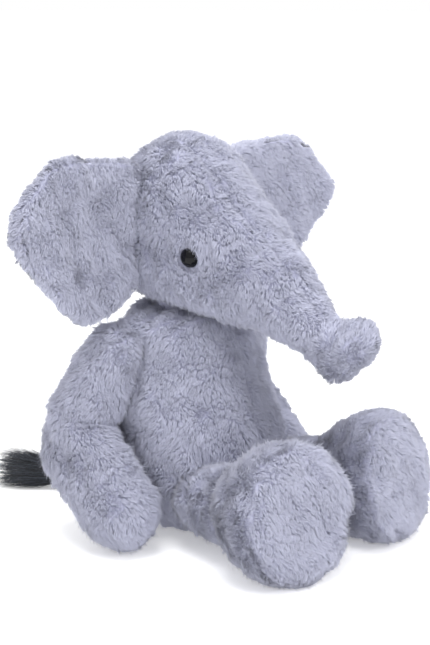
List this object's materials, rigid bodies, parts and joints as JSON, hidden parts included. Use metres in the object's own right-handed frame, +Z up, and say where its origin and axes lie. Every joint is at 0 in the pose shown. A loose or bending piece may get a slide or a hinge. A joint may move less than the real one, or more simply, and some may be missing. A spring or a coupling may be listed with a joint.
{
  "type": "stuffed elephant",
  "caption": "Seated soft elephant with a long upturned trunk, wide flat ears, floppy arms, large round feet and a tasselled tail; head, ears, trunk, limbs and tail all move.",
  "frame": {"origin": "on the floor, under the middle of the seat, on the middle plane", "axes": "+Z up, the elephant faces -Y, its own left side is +X"},
  "size_m": [0.2922, 0.3001, 0.2525],
  "materials": {
    "pile_fabric": "matte",
    "sole_pile": "matte",
    "stuffing": "matte",
    "eye_plastic": "gloss",
    "washer_plastic": "matte",
    "pellet_bag": "matte",
    "tuft_hair": "satin"
  },
  "bodies": {
    "torso": {"belly_panel_right": "pile_fabric", "belly_panel_left": "pile_fabric", "back_panel_right": "pile_fabric", "back_panel_left": "pile_fabric", "torso_stuffing": "stuffing", "seat_pellet_bag": "pellet_bag"},
    "neck": {"neck_stuffing": "stuffing"},
    "head": {"head_crown_gusset": "pile_fabric", "head_panel_right": "pile_fabric", "head_panel_left": "pile_fabric", "head_stuffing": "stuffing", "eye_right": "eye_plastic", "eye_left": "eye_plastic", "eye_washer_right": "washer_plastic", "eye_washer_left": "washer_plastic"},
    "trunk": {"trunk_panel_right": "pile_fabric", "trunk_panel_left": "pile_fabric", "trunk_tip_cover": "pile_fabric", "trunk_stuffing": "stuffing"},
    "tail": {"tail_cover": "pile_fabric", "tail_stuffing": "stuffing", "tail_tuft": "tuft_hair"},
    "ear_right": {"ear_front_panel_right": "pile_fabric", "ear_padding_right": "stuffing", "ear_back_panel_right": "pile_fabric"},
    "upper_arm_right": {"upper_arm_front_panel_right": "pile_fabric", "upper_arm_back_panel_right": "pile_fabric", "upper_arm_stuffing_right": "stuffing"},
    "forearm_right": {"forearm_front_panel_right": "pile_fabric", "forearm_back_panel_right": "pile_fabric", "forearm_stuffing_right": "stuffing"},
    "leg_right": {"leg_top_panel_right": "pile_fabric", "leg_under_panel_right": "pile_fabric", "foot_outer_panel_right": "pile_fabric", "foot_inner_panel_right": "pile_fabric", "sole_panel_right": "sole_pile", "leg_stuffing_right": "stuffing"},
    "ear_left": {"ear_front_panel_left": "pile_fabric", "ear_padding_left": "stuffing", "ear_back_panel_left": "pile_fabric"},
    "upper_arm_left": {"upper_arm_front_panel_left": "pile_fabric", "upper_arm_back_panel_left": "pile_fabric", "upper_arm_stuffing_left": "stuffing"},
    "forearm_left": {"forearm_front_panel_left": "pile_fabric", "forearm_back_panel_left": "pile_fabric", "forearm_stuffing_left": "stuffing"},
    "leg_left": {"leg_top_panel_left": "pile_fabric", "leg_under_panel_left": "pile_fabric", "foot_outer_panel_left": "pile_fabric", "foot_inner_panel_left": "pile_fabric", "sole_panel_left": "sole_pile", "leg_stuffing_left": "stuffing"}
  },
  "joints": [
    {"name": "neck_turn", "type": "hinge", "parent": "torso", "child": "neck", "pos_m": [0, 0.012, 0.146], "axis": [0, 0, 1], "range_deg": [-30, 30], "stiffness_Nm_per_rad": 1},
    {"name": "neck_nod", "type": "hinge", "parent": "neck", "child": "head", "pos_m": [0, 0.012, 0.146], "axis": [-1, 0, 0], "range_deg": [-7, 10], "stiffness_Nm_per_rad": 1.5},
    {"name": "trunk_lift", "type": "hinge", "parent": "head", "child": "trunk", "pos_m": [0, -0.062, 0.158], "axis": [-1, 0, 0], "range_deg": [-18, 18], "stiffness_Nm_per_rad": 0.3},
    {"name": "tail_swing", "type": "hinge", "parent": "torso", "child": "tail", "pos_m": [0, 0.0585, 0.018], "axis": [0, 0, 1], "range_deg": [-25, 25], "stiffness_Nm_per_rad": 0.05},
    {"name": "ear_right_flap", "type": "hinge", "parent": "head", "child": "ear_right", "pos_m": [-0.05, 0.024, 0.196], "axis": [-0.0947, -0.0116, -0.9954], "range_deg": [-30, 30], "stiffness_Nm_per_rad": 0.12},
    {"name": "shoulder_right_swing", "type": "hinge", "parent": "torso", "child": "upper_arm_right", "pos_m": [-0.059, 0.022, 0.118], "axis": [-1, 0, 0], "range_deg": [-35, 6]},
    {"name": "elbow_right_bend", "type": "hinge", "parent": "upper_arm_right", "child": "forearm_right", "pos_m": [-0.077, 0.036, 0.073], "axis": [-1, 0, 0], "range_deg": [-45, 6]},
    {"name": "hip_right_lift", "type": "hinge", "parent": "torso", "child": "leg_right", "pos_m": [-0.034, -0.033, 0.027], "axis": [-1, 0, 0], "range_deg": [0, 18]},
    {"name": "ear_left_flap", "type": "hinge", "parent": "head", "child": "ear_left", "pos_m": [0.05, 0.024, 0.196], "axis": [-0.0947, 0.0116, 0.9954], "range_deg": [-30, 30], "stiffness_Nm_per_rad": 0.12},
    {"name": "shoulder_left_swing", "type": "hinge", "parent": "torso", "child": "upper_arm_left", "pos_m": [0.059, 0.022, 0.118], "axis": [-1, 0, 0], "range_deg": [-31, 10]},
    {"name": "elbow_left_bend", "type": "hinge", "parent": "upper_arm_left", "child": "forearm_left", "pos_m": [0.077, 0.03911, 0.07409], "axis": [-1, 0, 0], "range_deg": [-45, 6]},
    {"name": "hip_left_lift", "type": "hinge", "parent": "torso", "child": "leg_left", "pos_m": [0.034, -0.033, 0.027], "axis": [-1, 0, 0], "range_deg": [0, 18]}
  ]
}
